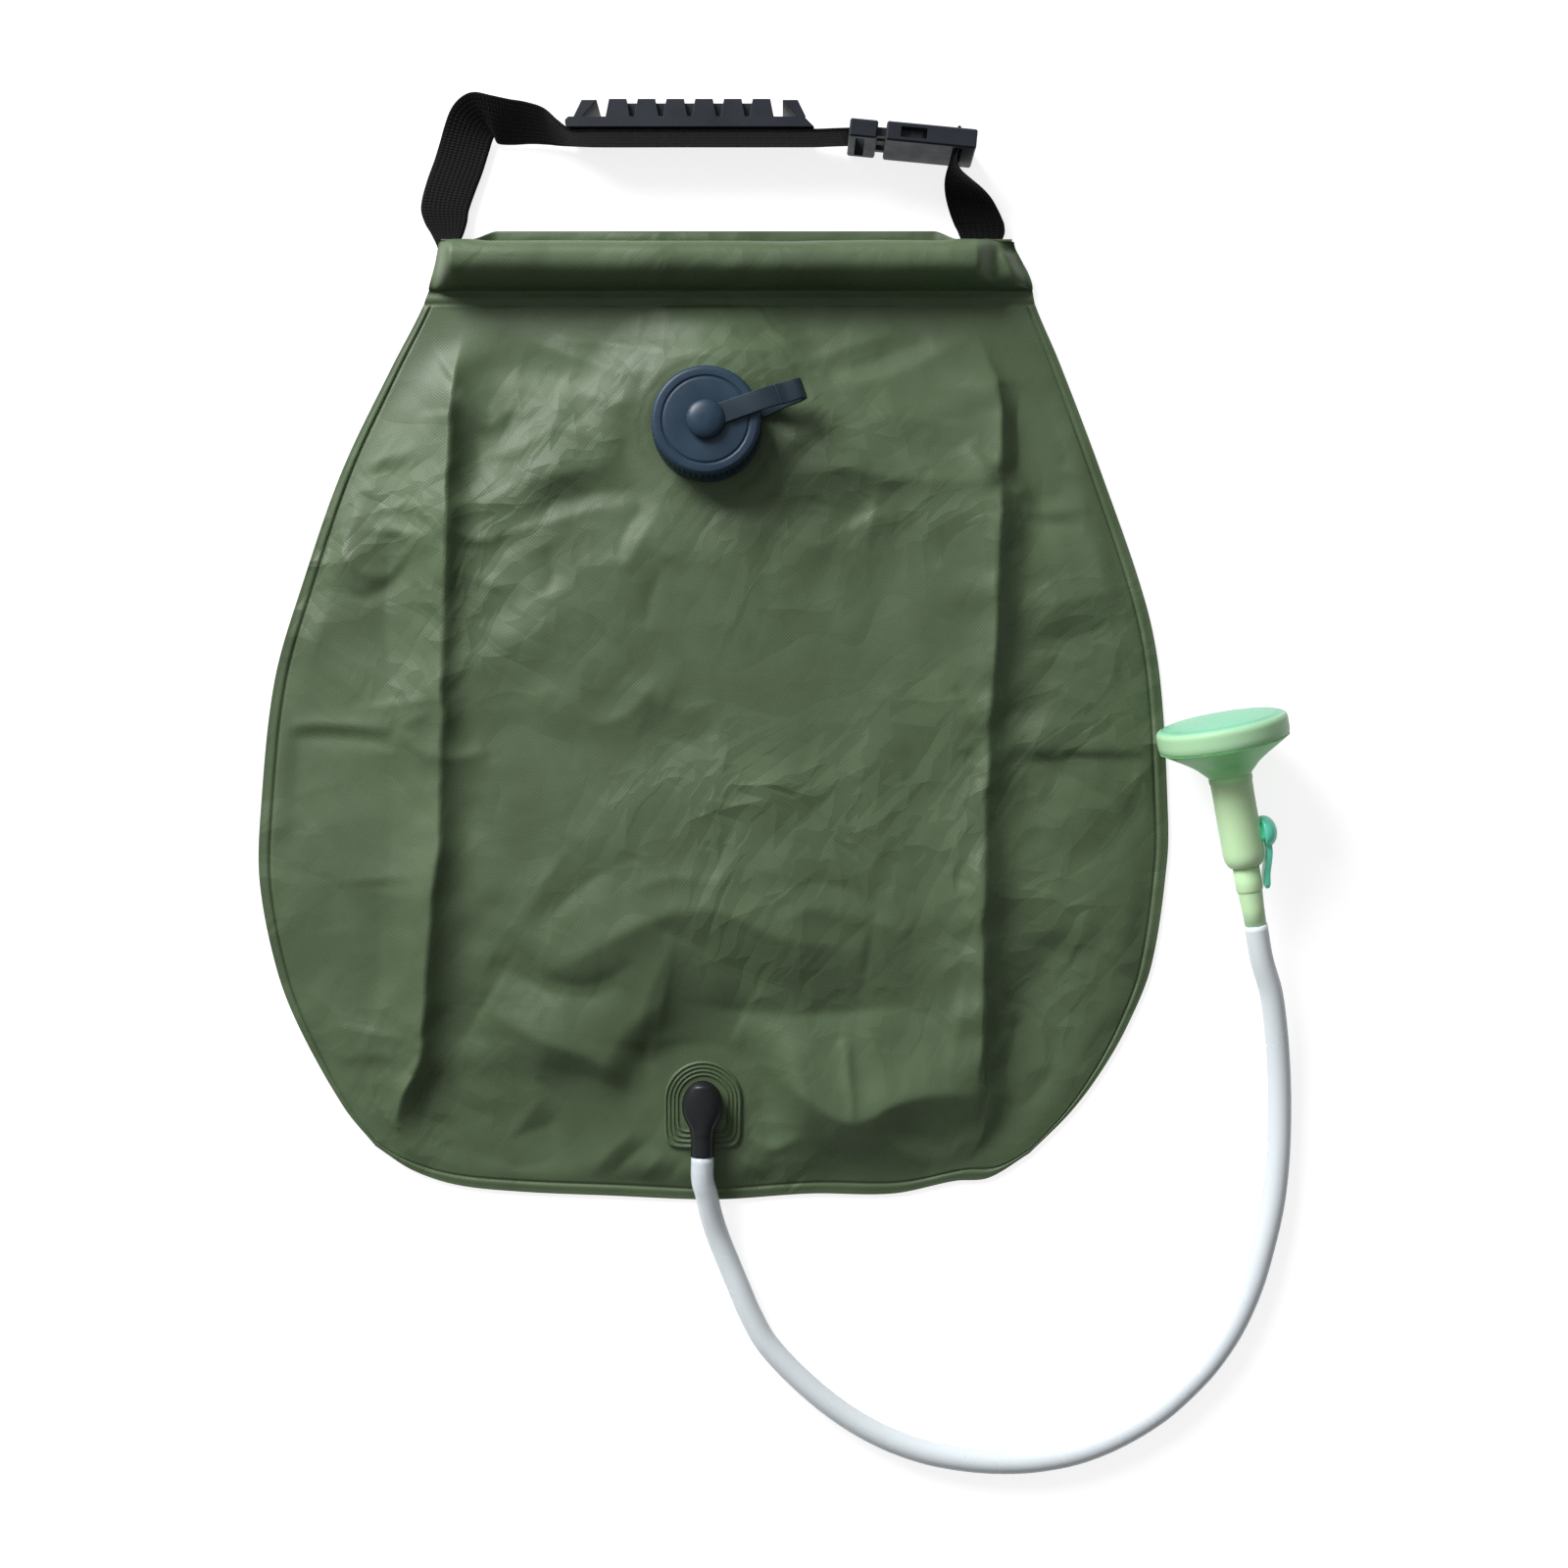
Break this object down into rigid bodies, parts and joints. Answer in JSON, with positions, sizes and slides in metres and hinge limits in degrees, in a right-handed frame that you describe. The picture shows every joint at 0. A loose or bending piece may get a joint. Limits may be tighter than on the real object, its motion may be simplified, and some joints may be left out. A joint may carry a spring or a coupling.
{
  "type": "camp_shower_bag",
  "caption": "Green PVC camp shower bag with a ribbed carrying handle, screw filler cap, outlet elbow, clear hose and shower head with a stopcock.",
  "frame": {"origin": "underside of the back sheet, at the middle of the bag's width and length", "axes": "+Z out of the front of the bag as it lies on its back, +Y towards the carrying handle, +X towards the bag's right edge seen from above"},
  "size_m": [0.5244, 0.6938, 0.065],
  "materials": {
    "bag_pvc": "PVC-coated cloth, satin",
    "tube_white": "extruded PVC",
    "webbing_black": "woven webbing",
    "cap_grey": "moulded, satin",
    "tether_grey": "soft moulded strap",
    "seal_grey": "moulded seal",
    "outlet_black": "moulded, satin",
    "hose_clear": "milky translucent tubing",
    "head_green": "moulded, glossy",
    "stopcock_teal": "moulded, glossy",
    "grip_grey": "moulded, satin"
  },
  "bodies": {
    "bag": {"front_sheet": "bag_pvc", "back_sheet": "bag_pvc", "spreader_tube": "tube_white", "sleeve_strap": "webbing_black", "filler_neck": "cap_grey", "tether_collar": "tether_grey", "tether_strap": "tether_grey", "outlet_patch": "bag_pvc", "outlet_spigot": "outlet_black", "outlet_elbow": "outlet_black", "hose_barb": "outlet_black", "hose": "hose_clear", "head_shell": "head_green", "rose_cap": "head_green", "rose_gasket": "seal_grey", "head_tail": "head_green", "tail_washer": "seal_grey"},
    "tether_fold": {"tether_bend": "tether_grey"},
    "tether": {"tether_arm": "tether_grey", "cap_button": "cap_grey"},
    "cap": {"screw_cap": "cap_grey", "cap_gasket": "seal_grey"},
    "handle": {"handle_strap": "webbing_black", "grip": "grip_grey", "buckle_plug": "grip_grey", "strap_right_lower": "webbing_black"},
    "buckle_socket": {"buckle_socket": "grip_grey", "strap_right_upper": "webbing_black"},
    "stopcock": {"stopcock": "stopcock_teal"}
  },
  "joints": [
    {"name": "cap_flip", "type": "hinge", "parent": "bag", "child": "tether_fold", "pos_m": [0.04076, 0.15985, 0.0218], "axis": [-0.3338, 0.9426, 0], "range_deg": [0, 120]},
    {"name": "cap_lift", "type": "slide", "parent": "tether_fold", "child": "tether", "axis": [0, 0, 1], "range_m": [0, 0.00525]},
    {"name": "cap_turn", "type": "hinge", "parent": "tether", "child": "cap", "pos_m": [-0.0026, 0.1445, 0], "axis": [0, 0, 1], "range_deg": [0, 540]},
    {"name": "handle_swing", "type": "hinge", "parent": "bag", "child": "handle", "pos_m": [0, 0.2443, 0.0043], "axis": [1, 0, 0], "range_deg": [0, 90]},
    {"name": "buckle_release", "type": "slide", "parent": "handle", "child": "buckle_socket", "axis": [0.9954, -0.0958, 0], "range_m": [0, 0.024]},
    {"name": "stopcock_turn", "type": "hinge", "parent": "bag", "child": "stopcock", "pos_m": [0.26292, -0.06091, 0.02576], "axis": [-0.9799, -0.1994, 0], "range_deg": [0, 90]}
  ],
  "couplings": [
    {"joint": "cap_lift", "follows": "cap_turn", "m_per_rad": 0.000557}
  ]
}
